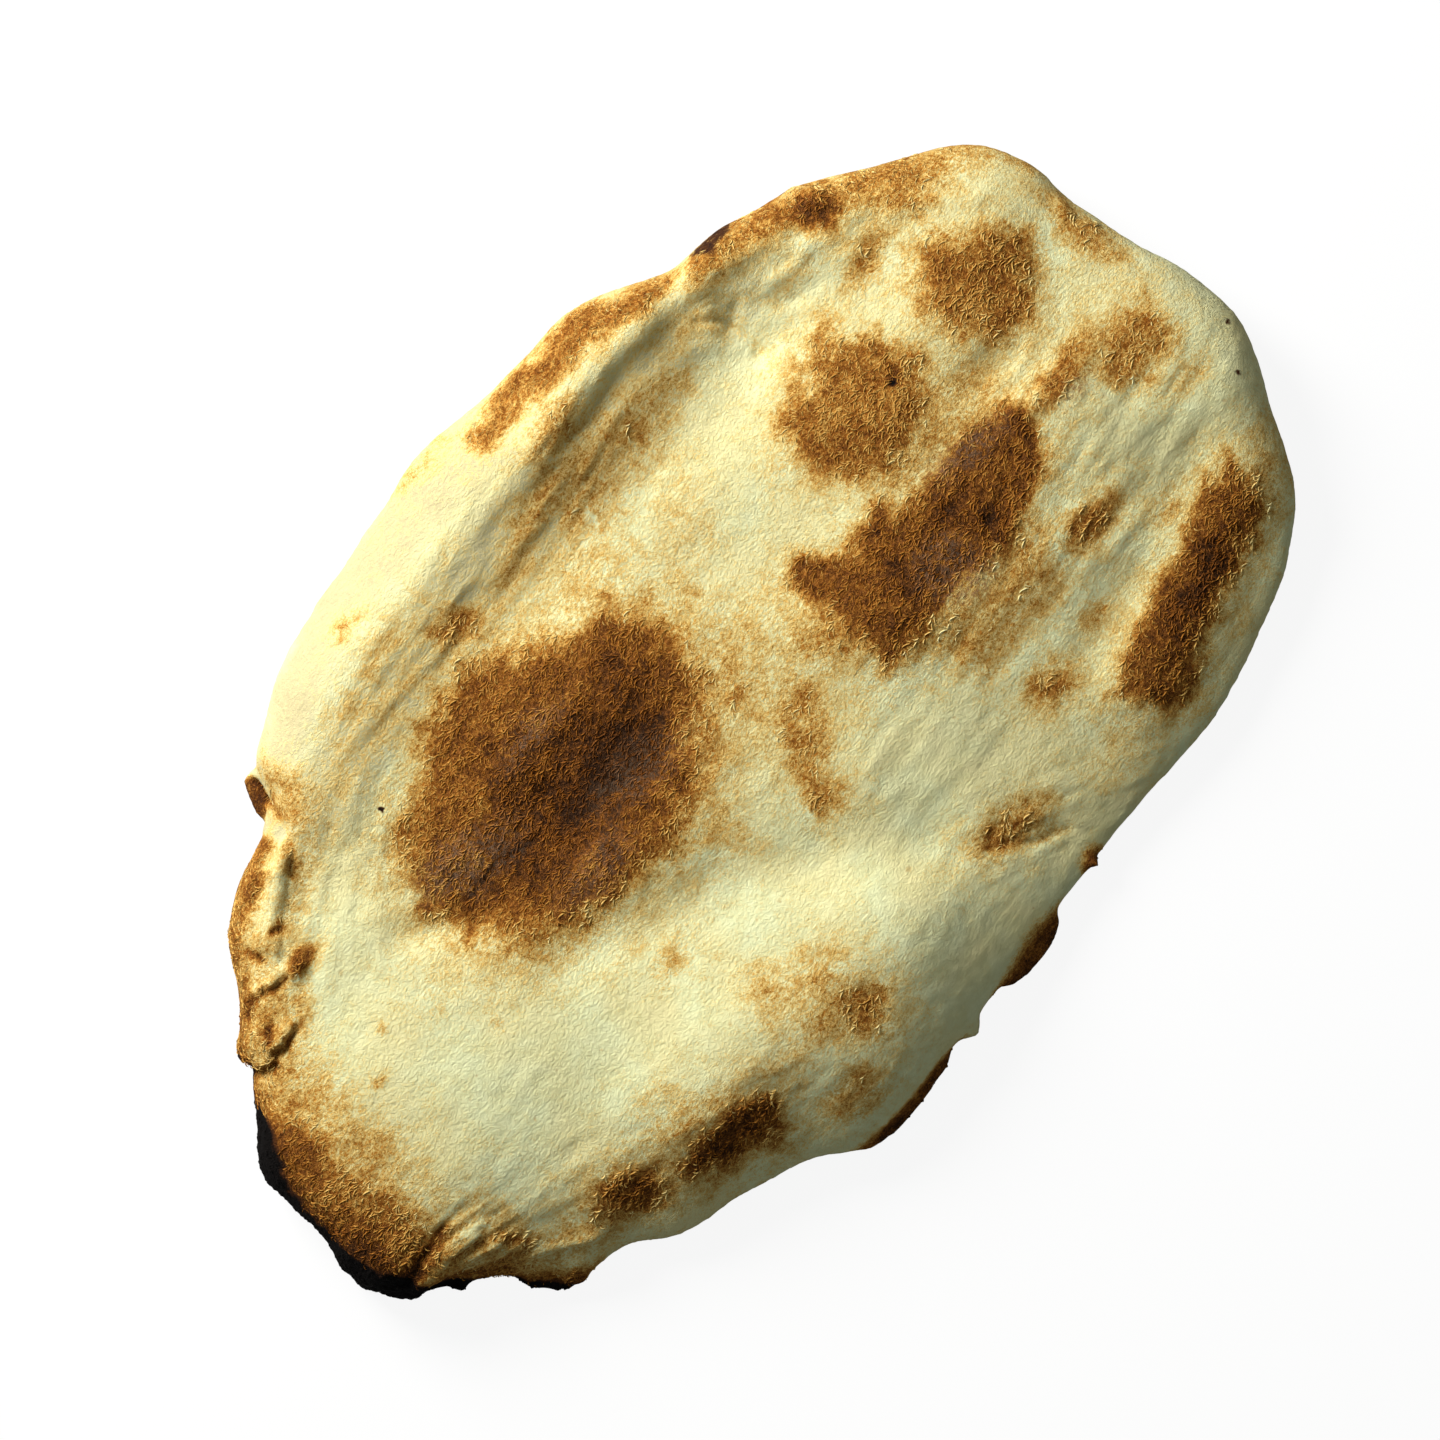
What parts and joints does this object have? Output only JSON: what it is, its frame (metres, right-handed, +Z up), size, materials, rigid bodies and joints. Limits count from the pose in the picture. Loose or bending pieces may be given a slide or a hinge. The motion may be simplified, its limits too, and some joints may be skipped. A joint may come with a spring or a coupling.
{
  "type": "pita bread",
  "caption": "Oval hand-stretched flatbread with a soft blistered crust, browned patches, a scorched tip and a torn edge.",
  "frame": {"origin": "middle of the underside, on the plane the bread rests on", "axes": "+X along the bread's length, from the scorched tip towards the broad round end; +Y across it, towards the puffed rim; +Z up"},
  "size_m": [0.2394, 0.1468, 0.0198],
  "materials": {
    "baked_crust": "matt, slightly fibrous baked crust, pale cream with browned and scorched patches"
  },
  "bodies": {
    "root": {"pita_bread": "baked_crust"}
  },
  "joints": []
}
